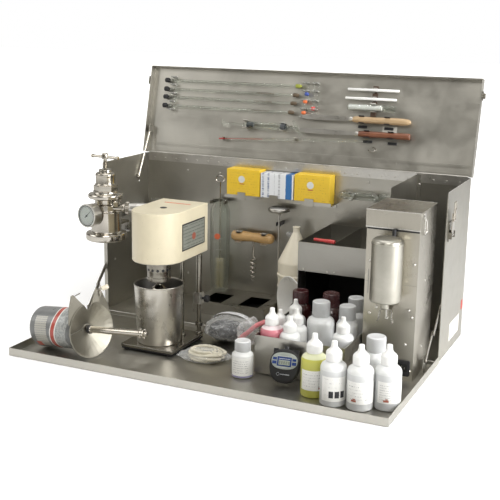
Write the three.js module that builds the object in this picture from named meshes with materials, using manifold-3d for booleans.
// Portable fluid test kit: a drop-front steel case with an open folding lid, the
// instruments standing on its folded-down door, and the glassware inside it.
// Millimetres, +Z up, +X to the right seen from the front, +Y to the back.
// Origin: middle of the case's footprint, on its underside.
import * as THREE from 'three';
import { mergeVertices } from 'three/addons/utils/BufferGeometryUtils.js';
import Module from 'manifold-3d';

const wasm = await Module();
wasm.setup();

// ---- driving dimensions ----------------------------------------------------
const SHEET = 1.5;                  // case, lid and door sheet
const ON_FLOOR = SHEET + 0.4;       // underside of what stands in the case
const ON_DOOR = SHEET + 0.3;        // underside of what stands on the door
const CASE_WIDTH = 836;             // outside
const CASE_DEPTH = 214;             // outside
const WALL_TOP = 368;
const HINGE_HALF = 412;             // half length of both piano hinges
const LID_AXIS = [104.5, 370.2];    // y, z of the lid hinge
const LID_OPEN = 103.2;             // degrees past closed
const LID_HALF = 422.5;             // half width
const LID_BACK = 105;
const LID_FRONT = -114.4;
const LID_INNER_Z = 372.5;          // inner face of the lid when closed
const DOOR_AXIS = [-109.2, 1.6];    // y, z of the door hinge
const DOOR_HALF = 420.5;            // half width
const DOOR_FRONT = -479.6;
const DOOR_FLANGE = 16.4;
const LATCH_Y = -77;                // middle of the draw latches
const LID_STUD = [52, 318];         // y, z of the lid stay stud, left wall
const LID_ARM_PIVOT = [45, 362];    // y, z with the lid closed
const DOOR_STAY_TOP = [-100, 122];  // y, z of the pivot on the right wall
const DOOR_STAY_FOOT = [-190, 31];  // y, z of the pivot on the door
const CABINET_X = [90, 293];
const CABINET_SHELF = 178;
const CABINET_TOP = 230;
const DIVIDER_X = 294.5;
const VISCO = [-162, -286];         // x, y of the rotor axis
const PRESS = [-372, -166];         // x, y of the filter press axis
const RETORT_X = [291, 399];
const RETORT_Y = [-246, -119];
const TRAY_X = [94, 287];
const TRAY_Y = [-343, -138];

// ---- materials -------------------------------------------------------------
const steel = { color: 0x9a978d, roughness: 0.38, metalness: 0.9 };
const bright = { color: 0xc9c7c0, roughness: 0.18, metalness: 1 };
const dullMetal = { color: 0xb4b5b4, roughness: 0.35, metalness: 0.8 };
const cream = { color: 0xd9cfae, roughness: 0.45, metalness: 0 };
const blackPlastic = { color: 0x1d1e20, roughness: 0.45, metalness: 0 };
const whitePlastic = { color: 0xe9e9e6, roughness: 0.4, metalness: 0 };
const glass = { color: 0xd5dad8, roughness: 0.05, metalness: 0 };
const brownGlass = { color: 0x5a1f14, roughness: 0.2, metalness: 0 };
const wood = { color: 0xb9854d, roughness: 0.6, metalness: 0 };
const yellow = { color: 0xe8bd1f, roughness: 0.6, metalness: 0 };
const greyPaint = { color: 0x6e7275, roughness: 0.45, metalness: 0.1 };

// ---- geometry helpers ------------------------------------------------------
const radians = (degrees) => (degrees * Math.PI) / 180;
const vectors = (points) => points.map(([x, y]) => new THREE.Vector2(x, y));

function box(x0, x1, y0, y1, z0, z1) {
  const geometry = new THREE.BoxGeometry(x1 - x0, y1 - y0, z1 - z0);
  return geometry.translate((x0 + x1) / 2, (y0 + y1) / 2, (z0 + z1) / 2);
}

// Turned solid about +Z at (x, y). Every profile is a table of [radius, z].
function lathe(profile, x = 0, y = 0, segments = 20) {
  const geometry = new THREE.LatheGeometry(vectors(profile), segments);
  return geometry.rotateX(Math.PI / 2).translate(x, y, 0);
}

const disc = (radius, z0, z1, x, y, segments) =>
  lathe([[0, z0], [radius, z0], [radius, z1], [0, z1]], x, y, segments);

// Points the geometry's own axis from start towards end, and moves it to start.
function aim(geometry, axis, start, end) {
  const from = new THREE.Vector3(...start);
  const direction = new THREE.Vector3(...end).sub(from).normalize();
  geometry.applyQuaternion(new THREE.Quaternion().setFromUnitVectors(axis, direction));
  return geometry.translate(...start);
}

function rod(start, end, radius, segments = 12) {
  const length = new THREE.Vector3(...end).sub(new THREE.Vector3(...start)).length();
  const geometry = new THREE.CylinderGeometry(radius, radius, length, segments);
  geometry.translate(0, length / 2, 0);
  return aim(geometry, new THREE.Vector3(0, 1, 0), start, end);
}

// Turned solid lying from start towards end; profile z counts from start.
const turned = (profile, start, end, segments = 20) =>
  aim(lathe(profile, 0, 0, segments), new THREE.Vector3(0, 0, 1), start, end);

const extrude = (points, depth) =>
  new THREE.ExtrudeGeometry(new THREE.Shape(vectors(points)), { depth, bevelEnabled: false });

// Flat plate between x0 and x1 from a [y, z] outline.
const sidePlate = (points, x0, x1) => extrude(points, x1 - x0).applyMatrix4(
  new THREE.Matrix4().set(0, 0, 1, x0, 1, 0, 0, 0, 0, 1, 0, 0, 0, 0, 0, 1));

function solid(geometry) {
  let bare = geometry.clone();
  for (const key of Object.keys(bare.attributes)) {
    if (key !== 'position') bare.deleteAttribute(key);
  }
  bare = mergeVertices(bare, 1e-4);
  return new wasm.Manifold(new wasm.Mesh({
    numProp: 3,
    vertProperties: new Float32Array(bare.attributes.position.array),
    triVerts: new Uint32Array(bare.index.array),
  }));
}

function toGeometry(manifold) {
  const mesh = manifold.getMesh();
  const positions = new Float32Array(mesh.vertProperties);
  const geometry = new THREE.BufferGeometry();
  geometry.setAttribute('position', new THREE.BufferAttribute(positions, 3));
  geometry.setIndex(new THREE.BufferAttribute(new Uint32Array(mesh.triVerts), 1));
  return geometry;
}

// Joining a single shape just merges its vertices.
const join = (...parts) => toGeometry(parts.map(solid).reduce((a, b) => a.add(b)));
const cut = (body, ...tools) =>
  toGeometry(tools.map(solid).reduce((a, b) => a.subtract(b), solid(body)));

const kit = new THREE.Group();

function add(name, geometry, material, parent = kit) {
  geometry.computeVertexNormals();
  const mesh = new THREE.Mesh(geometry, new THREE.MeshStandardMaterial(material));
  mesh.name = name;
  parent.add(mesh);
}

// ============================ the case ======================================
const sideX = CASE_WIDTH / 2;
const endY = CASE_DEPTH / 2;
const innerX = sideX - SHEET;
const innerY = endY - SHEET;
add('case_shell', join(
  cut(
    box(-sideX, sideX, -endY, endY, 0, WALL_TOP),
    box(-innerX, innerX, -endY - 5, innerY, SHEET, WALL_TOP + 5),
  ),
  // narrow return folded in at the front edge of the left wall
  box(-sideX + 0.4, -sideX + 9, -endY + 0.1, -endY + 1.6, 0.5, WALL_TOP - 0.4),
  // studs for the lid stay and the door stay
  rod([-innerX - 0.7, ...LID_STUD], [-414.1, ...LID_STUD], 4.5, 10),
  rod([innerX + 0.7, ...DOOR_STAY_TOP], [415.5, ...DOOR_STAY_TOP], 5, 10),
), steel);

// upright panel with flanges along its back edge and its foot
add('divider_panel', join(
  box(DIVIDER_X - 0.2, DIVIDER_X + 1.3, -105.5, 103.4, ON_FLOOR, WALL_TOP - 0.5),
  box(DIVIDER_X + 0.2, DIVIDER_X + 10, 101.9, 103.2, 2.4, WALL_TOP - 1),
  box(DIVIDER_X + 0.3, DIVIDER_X + 14, -105, 103, 2, 3.3),
), steel);

// cabinet: two sides, shelf, front and back strips, and a partition
const [cabinetLeft, cabinetRight] = CABINET_X;
const stripX = [cabinetLeft + 0.7, cabinetRight - 0.7];
const stripZ = [CABINET_SHELF - 14, CABINET_TOP - 0.3];
add('cabinet_box', join(
  box(cabinetLeft, cabinetLeft + 1.4, -105.5, 105, ON_FLOOR, CABINET_TOP),
  box(cabinetRight - 1.4, cabinetRight, -105.5, 105, ON_FLOOR, CABINET_TOP),
  box(cabinetLeft + 0.5, cabinetRight - 0.5, -105, 104.5, CABINET_SHELF, CABINET_SHELF + 1.4),
  box(...stripX, -105.3, -103.9, ...stripZ),
  box(...stripX, 103.4, 104.8, ...stripZ),
  box(166.3, 167.7, -104.8, 104.2, CABINET_SHELF + 0.5, CABINET_TOP - 0.6),
), steel);

// piano hinges
const hingePin = (axis, radius) =>
  rod([-HINGE_HALF, ...axis], [HINGE_HALF, ...axis], radius, 12);
add('lid_piano_hinge', join(
  box(-HINGE_HALF, HINGE_HALF, 103.9, 105.2, 349, 369.2),
  hingePin(LID_AXIS, 1.95),
), bright);
add('door_piano_hinge', hingePin(DOOR_AXIS, 1.55), bright);

// rail: ledge, back plate, front lip and three tabs
const RAIL_TABS = [[-140, -120], [-56, -34], [36, 58]];   // x ranges
add('strip_box_rail', join(
  box(-176, 103, 64.2, 104.8, 279.4, 280.8),
  box(-175.5, 102.5, 103.6, 105, 270, 300),
  box(-175.6, 102.6, 63.8, 65.2, 279, 287),
  ...RAIL_TABS.map((rangeX) => box(...rangeX, 62.8, 64.9, 276, 294)),
), steel);

// test-strip boxes on the rail: left, right, top
const STRIP_BOXES = [[-171, -83, 350], [-80, 5, 346], [8, 97, 350]];
STRIP_BOXES.forEach(([left, right, top], i) => {
  add(`test_strip_box_${i + 1}`, box(left, right, 66.2, 103, 281.2, top), yellow);
});

// rack: top plate with two openings, front plate and three uprights
const RACK_UPRIGHTS = [[-215.8, -214.4], [-126, -124.6], [-25.6, -24.2]];   // x ranges
add('rack_plate', cut(
  join(
    box(-216, -24, -26, 104.6, 31.2, 32.6),
    box(-215.6, -24.4, -26.4, -25, ON_FLOOR, 32.3),
    ...RACK_UPRIGHTS.map((rangeX) => box(...rangeX, -25.6, 104.4, ON_FLOOR, 32.1)),
  ),
  box(-196, -143, -20, 58, 20, 40),
  box(-99, -46, -16, 66, 20, 40),
), steel);

// sand-content tube standing on the rack, with its brush inside
const SAND_TUBE = [-195, 79];   // x, y of the axis
const SAND_TUBE_PROFILE = [
  [0, 33], [19, 33], [20, 37], [25, 90], [25.3, 236], [22, 250], [17, 257], [17, 266],
  [19.5, 268], [19.5, 270], [16, 270], [15.4, 257], [20, 249], [23, 236], [22.6, 90],
  [16.5, 38], [0, 38],
];
add('sand_tube', lathe(SAND_TUBE_PROFILE, ...SAND_TUBE, 14), glass);
const BRUSH_PROFILE = [[0, 41], [9, 43], [10, 60], [10, 112], [8, 117], [0, 117]];
add('tube_brush', join(
  lathe(BRUSH_PROFILE, ...SAND_TUBE, 12),
  rod([...SAND_TUBE, 110], [...SAND_TUBE, 310], 1.5, 8),
  new THREE.TorusGeometry(10.5, 1.5, 8, 16).rotateX(Math.PI / 2).translate(...SAND_TUBE, 318),
), bright);

// corkscrew: level handle, shank and tapered foot
const CORKSCREW = [-105, 86];   // x, y of the shank
const HANDLE_PROFILE = [
  [0, 0], [9, 0], [13, 5], [14, 30], [11, 56], [14, 83], [13, 108], [9, 113], [0, 113],
];
const FOOT_PROFILE = [[0, 66], [2, 74], [7, 84], [7, 104], [3, 108], [0, 108]];
add('corkscrew', join(
  turned(HANDLE_PROFILE, [-164, 86, 180], [0, 86, 180], 14),
  rod([...CORKSCREW, 180], [...CORKSCREW, 104], 3, 8),
  lathe(FOOT_PROFILE, ...CORKSCREW, 10),
), wood);

const DIAL = [-34, 77];   // x, y of the stem
const DIAL_PROFILE = [
  [0, 249], [6, 249], [8, 252], [24, 253.5], [27, 256], [27, 261], [25, 263], [0, 263],
];
add('dial_thermometer', join(
  lathe(DIAL_PROFILE, ...DIAL, 20),
  rod([...DIAL, 250.5], [...DIAL, 88], 2.6, 8),
), bright);

// sieve collar with its funnel on top; both profiles are closed rings
const SIEVE = [20, 58];   // x, y of the axis
const COLLAR_PROFILE = [
  [36.5, ON_FLOOR], [42.5, ON_FLOOR], [42.5, 76], [43.6, 77], [43.6, 81], [42.5, 82],
  [42.5, 103.8], [39.2, 103.8], [39.2, 112], [36.5, 112], [36.5, ON_FLOOR],
];
const SIEVE_FUNNEL_PROFILE = [
  [39.6, 104.2], [44.5, 104.2], [44.5, 110.5], [42.5, 111.5], [42.5, 141], [8.5, 212],
  [8, 225], [6, 225], [6.2, 211], [39.6, 139.5], [39.6, 104.2],
];
add('sieve_collar', lathe(COLLAR_PROFILE, ...SIEVE, 18), whitePlastic);
add('sieve_funnel', lathe(SIEVE_FUNNEL_PROFILE, ...SIEVE, 18), whitePlastic);

// loose funnel on its side, and a receiver tube lying along +X
const FUNNEL_PROFILE = [
  [3.4, 0], [4.6, 0], [5.4, 20], [58, 63], [60, 63], [60, 66], [56.6, 66], [4.2, 21], [3.4, 0],
];
const RECEIVER_PROFILE = [
  [0, 0], [7, 1], [9, 8], [9, 112], [10.5, 114], [10.5, 118], [7.6, 118], [7.6, 9], [0, 5],
];
add('plastic_funnel',
  turned(FUNNEL_PROFILE, [78.8, 28.8, 62.4], [39.2, -24, 62.4], 22), whitePlastic);
add('receiver_tube', turned(RECEIVER_PROFILE, [113, 90, 306], [233, 90, 306], 14), glass);

// bracket that the filter press hooks onto
const [pressX, pressY] = PRESS;
add('press_bracket', join(
  box(pressX - 34, pressX + 34, 100, 104.6, 196, 250),
  box(-404, -401, -97.6, 102, 206, 226),
  box(-403.5, -352, -97, -94, 204, 225.5),
), steel);

// Draw latch on a side wall. x is the distance from the case's middle,
// y is counted from the latch's middle.
function addLatch(name, side) {
  const block = (near, far, y0, y1, z0, z1) => {
    const rangeX = side > 0 ? [near, far] : [-far, -near];
    return box(...rangeX, LATCH_Y + y0, LATCH_Y + y1, z0, z1);
  };
  const wire = (x, y0, z0, y1, z1, radius, segments) =>
    rod([side * x, LATCH_Y + y0, z0], [side * x, LATCH_Y + y1, z1], radius, segments);
  add(`latch_base_${name}`, join(
    block(418.3, 420.2, -15, 15, 262, 304),
    block(418.8, 427, -14.6, -11.5, 268, 282),
    block(418.8, 427, 11.5, 14.6, 268, 282),
  ), bright);
  add(`latch_lever_${name}`, join(
    wire(423.5, -10.6, 275, 10.6, 275, 3, 16),
    block(423.6, 425.4, -10.2, 10.2, 273, 322),
    block(425, 430, -5, 5, 312, 330),
    wire(427.5, -7, 306, -7, 345, 1.3, 8),
    wire(427.5, 7, 306, 7, 345, 1.3, 8),
    wire(427.5, -7, 345, 7, 345, 1.3, 8),
    block(424.4, 428.6, -8.3, 8.3, 304.5, 308),
  ), bright);
}
addLatch('left', -1);
addLatch('right', 1);

// ============================ the lid =======================================
// modelled closed about its hinge line, then swung open
const lid = new THREE.Group();
lid.position.set(0, ...LID_AXIS);
lid.rotation.x = -radians(LID_OPEN);
kit.add(lid);

const addToLid = (name, geometry, material) =>
  add(name, geometry.translate(0, -LID_AXIS[0], -LID_AXIS[1]), material, lid);
// a place on the closed lid, from its hinge edge and off its inner face
const lidPoint = (x, fromHinge, offFace) => [x, LID_BACK - fromHinge, LID_INNER_Z - offFace];

const keeperY = [LATCH_Y - 9, LATCH_Y + 9];
addToLid('lid_shell', join(
  cut(
    box(-LID_HALF, LID_HALF, LID_FRONT, LID_BACK, 354, LID_INNER_Z + SHEET),
    box(-LID_HALF + SHEET, LID_HALF - SHEET, LID_FRONT + SHEET, 112, 350, LID_INNER_Z),
  ),
  // ear that carries the stay
  box(-410.9, -409.5, LID_ARM_PIVOT[0] - 9, LID_ARM_PIVOT[0] + 9, 354.6, LID_INNER_Z + 0.5),
  // keepers for the two draw latches
  box(-424.4, -LID_HALF + 0.5, ...keeperY, 356, 366),
  box(LID_HALF - 0.5, 424.4, ...keeperY, 356, 366),
), steel);

addToLid('pipette', rod(lidPoint(-376, 185, 9), lidPoint(-16, 185, 9), 3.4, 10), glass);

// syringe: plunger rod, barrel with nozzle, and thumb plate
const SYRINGE_PROFILE = [
  [0, 0], [11, 0], [11, 3], [8, 3], [8, 111], [3, 116], [3, 128], [0, 128],
];
const syringeAt = (x) => lidPoint(x, 85, 12);
const [, syringeY, syringeZ] = syringeAt(0);
addToLid('syringe', join(
  rod(syringeAt(-202), syringeAt(-140), 2.4, 10),
  turned(SYRINGE_PROFILE, syringeAt(-146), syringeAt(0), 14),
  box(-206, -202, syringeY - 8, syringeY + 8, syringeZ - 7, syringeZ + 7),
), glass);

addToLid('glass_thermometer',
  join(rod(lidPoint(-217, 46, 9), lidPoint(4, 57, 9), 3.1, 10)), glass);
addToLid('stirring_rod',
  join(rod(lidPoint(108, 184, 9), lidPoint(233, 184, 9), 3.2, 10)), whitePlastic);

// spatulas: distance from hinge edge, handle start and end x, blade tip x
const SPATULAS = [[113, 124, 270, 2], [80, 142, 271, -3]];
SPATULAS.forEach(([fromHinge, start, end, tip], i) => {
  const handle = [
    [0, 0], [6, 0], [7.5, 8], [6, 40], [7.5, 90], [8, 120], [5, end - start], [0, end - start],
  ];
  const [, y, z] = lidPoint(0, fromHinge, 13);
  addToLid(`spatula_${i + 1}`, join(
    turned(handle, [start, y, z], [end, y, z], 12),
    box(tip, start + 4, y - 6, y + 6, z - 1, z + 1),
  ), wood);
});

// Slotted arm hanging from the lid's ear, modelled about its pivot. Angles are
// in degrees from +Y towards +Z.
function addLidStay() {
  const CLOSED_ANGLE = -81;     // as modelled, in the closed lid
  const REST_ANGLE = -117.4;    // leaning to its stud, in the kit's frame
  const LENGTH = 130;
  const cos = Math.cos(radians(CLOSED_ANGLE));
  const sin = Math.sin(radians(CLOSED_ANGLE));
  const point = (along, across) => [cos * along - sin * across, sin * along + cos * across];
  const outline = (from, to, half) =>
    [point(from, -half), point(from, half), point(to, half), point(to, -half)];

  const arm = new THREE.Group();
  arm.position.set(0, LID_ARM_PIVOT[0] - LID_AXIS[0], LID_ARM_PIVOT[1] - LID_AXIS[1]);
  arm.rotation.x = radians(REST_ANGLE + LID_OPEN - CLOSED_ANGLE);
  lid.add(arm);
  add('lid_stay_arm', cut(
    sidePlate(outline(-6, LENGTH + 6, 5), -412.9, -411.4),
    sidePlate(outline(38, LENGTH, 1.9), -414, -410),
  ), bright, arm);
}
addLidStay();

// ============================ the door ======================================
add('door_panel', join(
  cut(
    box(-DOOR_HALF, DOOR_HALF, DOOR_FRONT, -111.2, 0, DOOR_FLANGE),
    box(-DOOR_HALF + SHEET, DOOR_HALF - SHEET, DOOR_FRONT + SHEET, -100, SHEET, 30),
  ),
  // ear for the lower link of the stay
  box(407.6, 409, DOOR_STAY_FOOT[0] - 10, DOOR_STAY_FOOT[0] + 10, 0.5, 38),
), steel);

// Round-ended bar between two [y, z] pivots.
function stayBar(start, end, x0, x1) {
  const RADIUS = 5.5;
  const heading = Math.atan2(end[1] - start[1], end[0] - start[0]);
  const roundEnd = ([y, z], firstAngle) => Array.from({ length: 7 }, (_, i) => {
    const angle = heading + radians(firstAngle + 30 * i);
    return [y + RADIUS * Math.cos(angle), z + RADIUS * Math.sin(angle)];
  });
  return sidePlate([...roundEnd(start, 90), ...roundEnd(end, -90)], x0, x1);
}
const stayElbow = DOOR_STAY_TOP.map((value, i) => (value + DOOR_STAY_FOOT[i]) / 2);
add('door_stay_upper', stayBar(DOOR_STAY_TOP, stayElbow, 413.4, 415), bright);
add('door_stay_lower', stayBar(DOOR_STAY_FOOT, stayElbow, 410.4, 412), bright);

// ====================== viscometer ==========================================
const [viscoX, viscoY] = VISCO;
const HEAD_BOTTOM = 200;
const BELOW_HEAD = HEAD_BOTTOM - 0.6;   // top of the posts and the rotor
const BASE_X = [-226, -99];
const BASE_Y = [-342, -196];
const BACK_POST = [-107, -203];         // x, y
const INNER_POST = [-134, -232];

// 12 mm square feet, 4 mm in from the edges of the base
const footRanges = ([low, high]) => [[low + 4, low + 16], [high - 16, high - 4]];
add('viscometer_stand', join(
  box(...BASE_X, ...BASE_Y, 5, 16),
  ...footRanges(BASE_Y).flatMap((rangeY) =>
    footRanges(BASE_X).map((rangeX) => box(...rangeX, ...rangeY, ON_DOOR, 6))),
  rod([...BACK_POST, 15], [...BACK_POST, BELOW_HEAD], 5, 12),
  rod([...INNER_POST, 15], [...INNER_POST, BELOW_HEAD], 4.2, 12),
  rod([...BACK_POST, 100], [...BACK_POST, BELOW_HEAD], 7, 12),
  box(-116, -98.5, -213, -194, 86, 112),
), steel);

// hollow head, half round at the front and square at the back
function viscometerHead() {
  const RADIUS = 57;
  const BACK = -165;
  const outline = [[viscoX + RADIUS, BACK], [viscoX + RADIUS, viscoY]];
  for (let i = 1; i < 20; i++) {
    const angle = -(i * Math.PI) / 20;
    outline.push([viscoX + RADIUS * Math.cos(angle), viscoY + RADIUS * Math.sin(angle)]);
  }
  outline.push([viscoX - RADIUS, viscoY], [viscoX - RADIUS, BACK]);
  const hollow = join(
    box(viscoX - 50, viscoX + 50, -290, -172, 204, 303),
    disc(46, 204, 303, viscoX, viscoY, 16),
  );
  return cut(
    extrude(outline, 109).translate(0, 0, HEAD_BOTTOM),
    hollow,
    box(viscoX - 30, viscoX - 6, -240, -200, 190, 210),
    disc(6, 306, 312, viscoX, viscoY + 22, 12),
  );
}
add('viscometer_head', viscometerHead(), cream);

const CUP_PROFILE = [
  [0, 16.3], [47.2, 16.3], [48, 17.5], [54.4, 146], [54.6, 147], [53.2, 147], [53, 146],
  [46.6, 19], [0, 19],
];
add('viscometer_cup', lathe(CUP_PROFILE, ...VISCO, 28), bright);
const ROTOR_PROFILE = [
  [0, 70], [14, 72], [17, 76], [17, 140], [6, 148], [6, 165], [24.4, 165], [24.4, 153],
  [26, 153], [26, 190], [13, 192], [13, BELOW_HEAD], [0, BELOW_HEAD],
];
add('viscometer_rotor', join(lathe(ROTOR_PROFILE, ...VISCO, 24)), bright);

// ====================== retort ==============================================
// sheet housing with a lid hinged at the back and a round chamber in front
const [retortLeft, retortRight] = RETORT_X;
const [retortFront, retortBack] = RETORT_Y;
add('retort_housing', cut(
  box(...RETORT_X, ...RETORT_Y, ON_DOOR, 346),
  box(retortLeft + SHEET, retortRight - SHEET, retortFront + SHEET, retortBack - SHEET, 3.4, 360),
  box(343, 351, retortFront - 2, retortFront + 4, 300, 326),
), steel);

const retortLidX = [retortLeft - 1.5, retortRight + 1.5];
const retortLidFront = retortFront - 3.4;
add('retort_lid', join(
  box(...retortLidX, retortLidFront, retortBack - 2.4, 346.6, 348.1),
  box(...retortLidX, retortLidFront, retortLidFront + 1.5, 312, 348.1),
  rod([retortLeft, retortBack - 1.9, 347.4], [retortRight, retortBack - 1.9, 347.4], 1, 8),
), steel);

const CHAMBER_PROFILE = [
  [0, 152], [9, 152], [9, 170], [26, 174], [30.4, 179], [31, 184], [31, 290], [29.6, 297],
  [24, 301.5], [12, 303.6], [0, 304],
];
add('retort_chamber',
  lathe(CHAMBER_PROFILE, (retortLeft + retortRight) / 2, retortFront - 34, 24), dullMetal);

// ====================== warmer ==============================================
// gas can lying down, notched shield, and burner tube
const CAN_BASE = [-395, -398, 46.4];
const CAN_MOUTH = [-268, -409, 61];
const BURNER_TARGET = [-108, -423, 78];   // the tube points here
const CAN_PROFILE = [
  [0, 0], [39, 0], [43, 4], [44, 8], [44, 100], [40, 112], [24, 119], [12, 121], [6, 121.5],
  [6, 124], [0, 124],
];
add('burner_can', turned(CAN_PROFILE, CAN_BASE, CAN_MOUTH, 16), greyPaint);

// raised wing: inner arc mirrored by side, then the [x, y] points of its outer edge
function shieldWing(side, outerEdge) {
  const points = [];
  for (let angle = 18; angle <= 84; angle += 11) {
    points.push([side * 51.5 * Math.cos(radians(angle)), 51.5 * Math.sin(radians(angle))]);
  }
  points.push(...outerEdge);
  if (side > 0) points.reverse();   // both outlines run anticlockwise
  return extrude(points, 1.6).translate(0, 0, 12.6);
}

// dished disc with a wing either side of its notch, and a hole for the burner
function burnerShield() {
  const dish = lathe(
    [[0, -1.6], [13, -1.6], [60, 15], [60, 16.4], [58, 16.4], [12, 0], [0, 0]], 0, 0, 28);
  const backWing = shieldWing(1, [[22.4, 84], [26, 85], [38, 76], [51, 47], [57, 22]]);
  const frontWing = shieldWing(-1, [[-32, 77], [-36, 83], [-44, 82], [-54, 52], [-58, 22]]);
  const notch = extrude([[0, 40], [31.7, 101], [-42, 87]], 60).translate(0, 0, -20);
  return toGeometry(solid(dish).add(solid(backWing)).add(solid(frontWing))
    .subtract(solid(notch)).subtract(solid(disc(6.5, -5, 5, 0, 0, 14))));
}

// the disc's +Z looks along the can and a little to the front, its +X to the
// back, and its +Y leans up
const shieldMount = new THREE.Group();
const worldUp = new THREE.Vector3(0, 0, 1);
const shieldZ = new THREE.Vector3(...CAN_MOUTH).sub(new THREE.Vector3(...CAN_BASE)).normalize();
shieldZ.applyAxisAngle(worldUp, -0.19);
const shieldX = new THREE.Vector3().crossVectors(worldUp, shieldZ).normalize();
const shieldY = new THREE.Vector3().crossVectors(shieldZ, shieldX);
shieldMount.setRotationFromMatrix(new THREE.Matrix4().makeBasis(shieldX, shieldY, shieldZ));
shieldMount.position.set(...CAN_MOUTH);
kit.add(shieldMount);
add('burner_shield', burnerShield(), steel, shieldMount);

const BURNER_PROFILE = [
  [0, 1], [4.2, 1], [4.2, 8], [8, 9], [8, 16], [6, 17], [6, 146], [8, 147], [8, 152],
  [4, 154], [7, 158], [4, 162], [0, 163],
];
const burnerStart = [CAN_MOUTH[0] - 5, CAN_MOUTH[1] + 0.45, CAN_MOUTH[2] - 0.6];
add('burner_tube', turned(BURNER_PROFILE, burnerStart, BURNER_TARGET, 14), bright);

// ====================== small loose items ===================================
// stopwatch: squarish oval, deeper below its middle, with three blocks on top
function stopwatch() {
  const outline = Array.from({ length: 20 }, (_, i) => {
    const angle = (i * Math.PI) / 10;
    const cos = Math.cos(angle);
    const sin = Math.sin(angle);
    const halfHeight = sin < 0 ? 38 : 30;
    return [
      31 * Math.sign(cos) * Math.abs(cos) ** 0.8,
      halfHeight * Math.sign(sin) * Math.abs(sin) ** 0.85,
    ];
  });
  return join(
    extrude(outline, 15).rotateX(Math.PI / 2).translate(0, 8, 0),
    box(-7, 7, -5, 5, 29, 37),
    box(-26, -16, -4, 4, 19, 31),
    box(16, 26, -4, 4, 19, 31),
  );
}
const stopwatchMount = new THREE.Group();
stopwatchMount.position.set(173, -370, 42.4);
stopwatchMount.rotation.set(-0.42, 0, 0.12);
kit.add(stopwatchMount);
add('stopwatch', stopwatch(), blackPlastic, stopwatchMount);

add('cord_coil', new THREE.TorusGeometry(27, 10, 8, 20)
  .scale(1.16, 0.98, 1).translate(-36, -310, 12.2), whitePlastic);
add('sample_bag', new THREE.SphereGeometry(1, 14, 8)
  .scale(54, 60, 29).translate(-42, -174, 31.4), glass);

// dropper bottle: body, shoulder and pointed cap in one turned solid
const DROPPER_PROFILE = [
  [25.4, 73], [23.6, 79], [15, 84], [14.6, 85], [15.4, 86.5], [15.4, 103], [14.6, 105],
  [6.2, 113], [5, 124], [0, 124.5],
];
const dropper = (x, y, bottom = ON_DOOR, scale = 1) => lathe([
  [0, bottom], [23 * scale, bottom], [25.4 * scale, bottom + 2.5],
  ...DROPPER_PROFILE.map(([radius, z]) => [radius * scale, bottom + z * scale]),
], x, y, 12);
const DROPPERS = [[244.5, -397], [293, -421.5], [345.5, -419], [392, -395]];   // x, y
DROPPERS.forEach(([x, y], i) => add(`dropper_bottle_${i + 1}`, dropper(x, y), whitePlastic));

const SMALL_BOTTLE_PROFILE = [
  [0, ON_DOOR], [20, ON_DOOR], [22, 4], [22, 52], [19, 57], [14, 59], [15, 60], [15, 76],
  [13.5, 78], [0, 78],
];
add('small_bottle', lathe(SMALL_BOTTLE_PROFILE, 79, -368, 16), whitePlastic);

// ====================== reagent tray ========================================
// open sheet drawer with a raised, pierced floor that carries three bottles
const TRAY_BOTTLE_Z = 21.8;
const inset = ([low, high], gap) => [low + gap, high - gap];
add('reagent_tray', join(
  cut(
    box(...TRAY_X, ...TRAY_Y, 3.6, 84),
    box(...inset(TRAY_X, 1.3), ...inset(TRAY_Y, 1.3), 4.9, 90),
  ),
  cut(
    box(...inset(TRAY_X, 0.6), ...inset(TRAY_Y, 0.6), 20, 21.4),
    disc(9, 18, 24, TRAY_X[1] - 26, TRAY_Y[0] + 62, 16),
  ),
), steel);
add('tray_bottle_1', dropper(119.8, -315, TRAY_BOTTLE_Z, 0.93), whitePlastic);
const CLEAR_BOTTLE_PROFILE = [
  [0, TRAY_BOTTLE_Z], [27, TRAY_BOTTLE_Z], [29, 24.5], [29, 98], [26, 106], [19, 110],
  [18, 111], [18, 141], [16.4, 142.5], [0, 142.5],
];
add('tray_bottle_2', lathe(CLEAR_BOTTLE_PROFILE, 198, -240, 18), glass);
const BROWN_BOTTLE_PROFILE = [
  [0, TRAY_BOTTLE_Z], [23, TRAY_BOTTLE_Z], [25, 24], [25, 104], [20, 112], [14, 115],
  [17.5, 116], [17.5, 143], [15, 145], [0, 145],
];
add('tray_bottle_3', lathe(BROWN_BOTTLE_PROFILE, 198, -180, 16), brownGlass);

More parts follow.
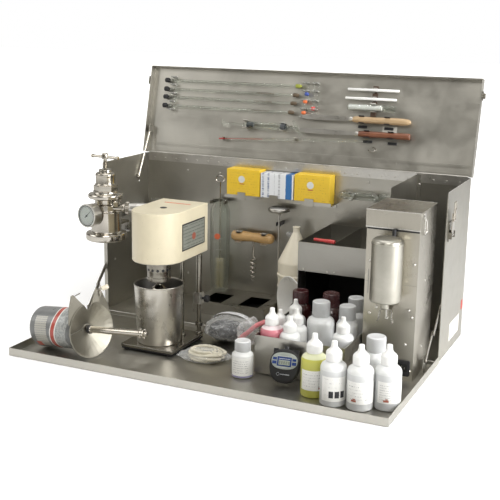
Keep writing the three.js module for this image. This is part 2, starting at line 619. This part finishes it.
// ====================== filter press ========================================
const GAUGE_ANGLE = radians(-100);   // the gauge looks to the front
const gaugePoint = (distance) => [
  pressX + Math.cos(GAUGE_ANGLE) * distance, pressY + Math.sin(GAUGE_ANGLE) * distance, 263,
];
const CELL_PROFILE = [
  [0, 197], [44, 197], [48, 202], [48, 214], [46, 217], [36, 218], [35, 222], [35, 262],
  [30, 263], [30, 284], [26, 285], [26, 296], [40, 297], [41, 301], [41, 306], [39, 308],
  [30, 309], [29, 314], [0, 314],
];
const CELL_TOP_PROFILE = [
  [0, 313], [27, 313], [27, 324], [23, 326], [23, 352], [21, 355], [15, 356], [14, 362],
  [8, 364], [0, 364],
];
add('press_cell', join(
  lathe(CELL_PROFILE, ...PRESS, 20),
  lathe(CELL_TOP_PROFILE, ...PRESS, 12),
  // necks for the gauge and the charger
  rod([...PRESS, 272], gaugePoint(37), 6, 10),
  rod([pressX + 20, pressY - 9.2, 276], [pressX + 51, pressY + 0.8, 276], 7, 10),
  // arm and hook to the bracket
  box(pressX - 14, pressX + 14, pressY + 20, -87.5, 226, 231),
  box(pressX - 13.5, pressX + 13.5, -91, -87.8, 206, 230.5),
), bright);

const GAUGE_PROFILE = [
  [0, 0], [22, 0], [26, 2], [26, 20], [27.5, 21], [27.5, 26], [25, 27.5], [0, 27.5],
];
add('press_gauge', turned(GAUGE_PROFILE, gaugePoint(38.6), gaugePoint(80), 24), bright);

const CHARGER_PROFILE = [
  [0, 0], [15, 0], [15, 10], [12.5, 11], [13.5, 24], [13.5, 112], [9, 120], [0, 121],
];
const chargerX = pressX + 52.6;
add('press_charger', turned(CHARGER_PROFILE,
  [chargerX, pressY + 1.5, 276], [chargerX + 115, pressY + 39, 276], 14), bright);

const T_SCREW_COLLAR = [[0, 386], [7.5, 386], [7.5, 398], [5, 401], [0, 401]];
add('press_t_screw', join(
  rod([...PRESS, 364.6], [...PRESS, 396], 4.6, 10),
  lathe(T_SCREW_COLLAR, ...PRESS, 10),
  rod([pressX - 38, pressY + 4, 392], [pressX + 38, pressY - 4, 392], 3.6, 10),
), bright);

export default kit;
